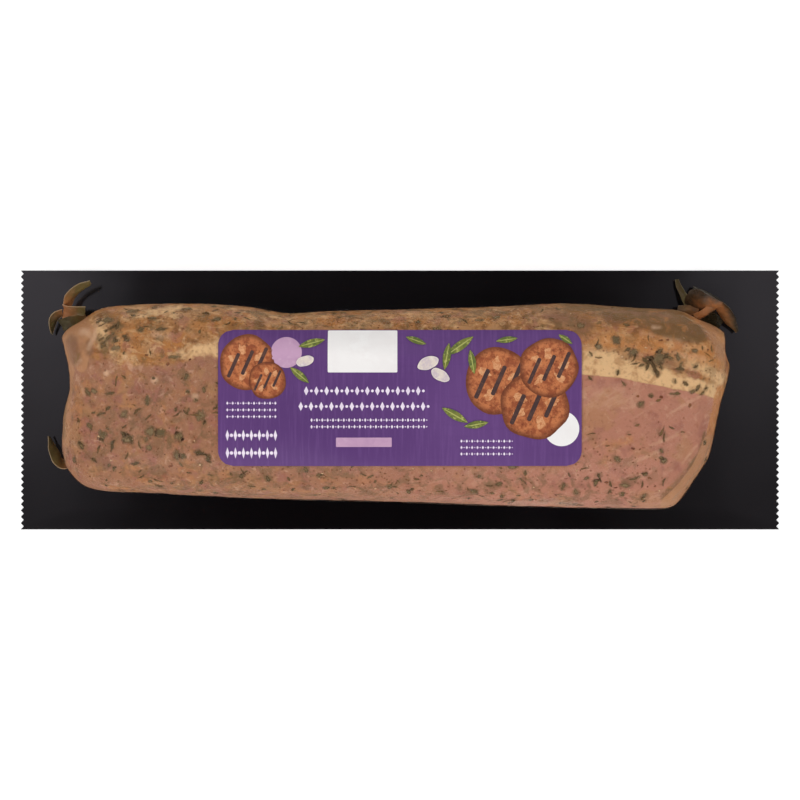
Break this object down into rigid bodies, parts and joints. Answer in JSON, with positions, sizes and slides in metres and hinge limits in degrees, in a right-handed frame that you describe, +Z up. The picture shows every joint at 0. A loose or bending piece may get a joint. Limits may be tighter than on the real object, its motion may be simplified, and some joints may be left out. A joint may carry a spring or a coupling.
{
  "type": "vacuum-packed seasoned pork loin fillet",
  "caption": "Long seasoned pork loin fillet sealed in tight clear film on a flat black backing film with pinked ends, with a rounded label lying on top.",
  "frame": {"origin": "middle of the backing film's underside, at the lowest point of the pack", "axes": "+X along the pack towards the fillet's bevelled end, +Y towards the fillet's fat side, +Z up through the label"},
  "size_m": [0.296, 0.101, 0.0396],
  "materials": {
    "backing_film": "thin smooth black packaging film with a soft gloss",
    "fillet_in_film": "pinkish raw pork with a cream fat side and herb rub, under clear glossy film",
    "clear_film": "clear glossy vacuum film with fine wrinkles, a little amber where juice gathers in the folds",
    "herb_rub": "dried herb flakes, needles, pepper specks and bits of garlic, damp with juice",
    "label": "semi-gloss printed paper in purple with cream, lilac and roast-brown shapes"
  },
  "bodies": {
    "root": {"backing_film": "backing_film", "fillet_in_film": "fillet_in_film", "label": "label"}
  },
  "joints": []
}
